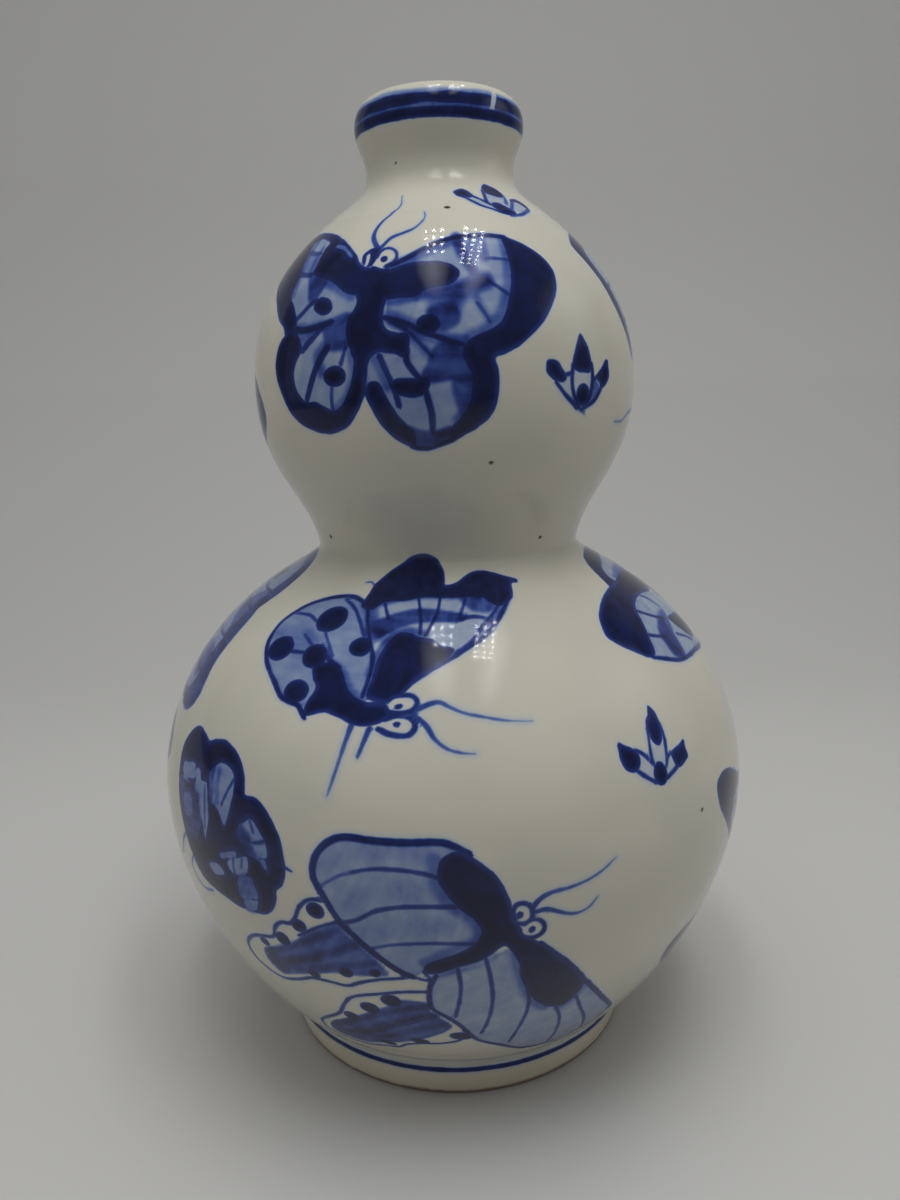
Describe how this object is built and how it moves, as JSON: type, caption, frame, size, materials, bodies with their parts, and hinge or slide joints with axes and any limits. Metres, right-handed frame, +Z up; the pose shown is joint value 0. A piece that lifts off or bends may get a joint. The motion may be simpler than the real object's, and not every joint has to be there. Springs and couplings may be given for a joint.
{
  "type": "double-gourd vase",
  "caption": "Double-gourd ceramic bottle vase: round bulbs, a short flared neck with a thick lip and a low foot ring, painted in cobalt blue under clear glaze; holds stems.",
  "frame": {"origin": "middle of the foot's contact plane, on the vase's axis", "axes": "+Z up along the vase's axis; the pictured side faces -Y"},
  "size_m": [0.1484, 0.1484, 0.23],
  "materials": {
    "body_glaze": "off-white clear glaze over cobalt blue painting, glossy",
    "foot_glaze": "thin cream glaze, wiped bare on the contact edge",
    "luting_slip": "fired slip, matt inside the vase"
  },
  "bodies": {
    "root": {"foot_ring": "foot_glaze", "foot_slip": "luting_slip", "lower_bowl": "body_glaze", "belly_slip": "luting_slip", "lower_dome": "body_glaze", "waist_slip": "luting_slip", "upper_bowl": "body_glaze", "upper_belly_slip": "luting_slip", "upper_dome": "body_glaze", "neck_slip": "luting_slip", "neck": "body_glaze"}
  },
  "joints": []
}
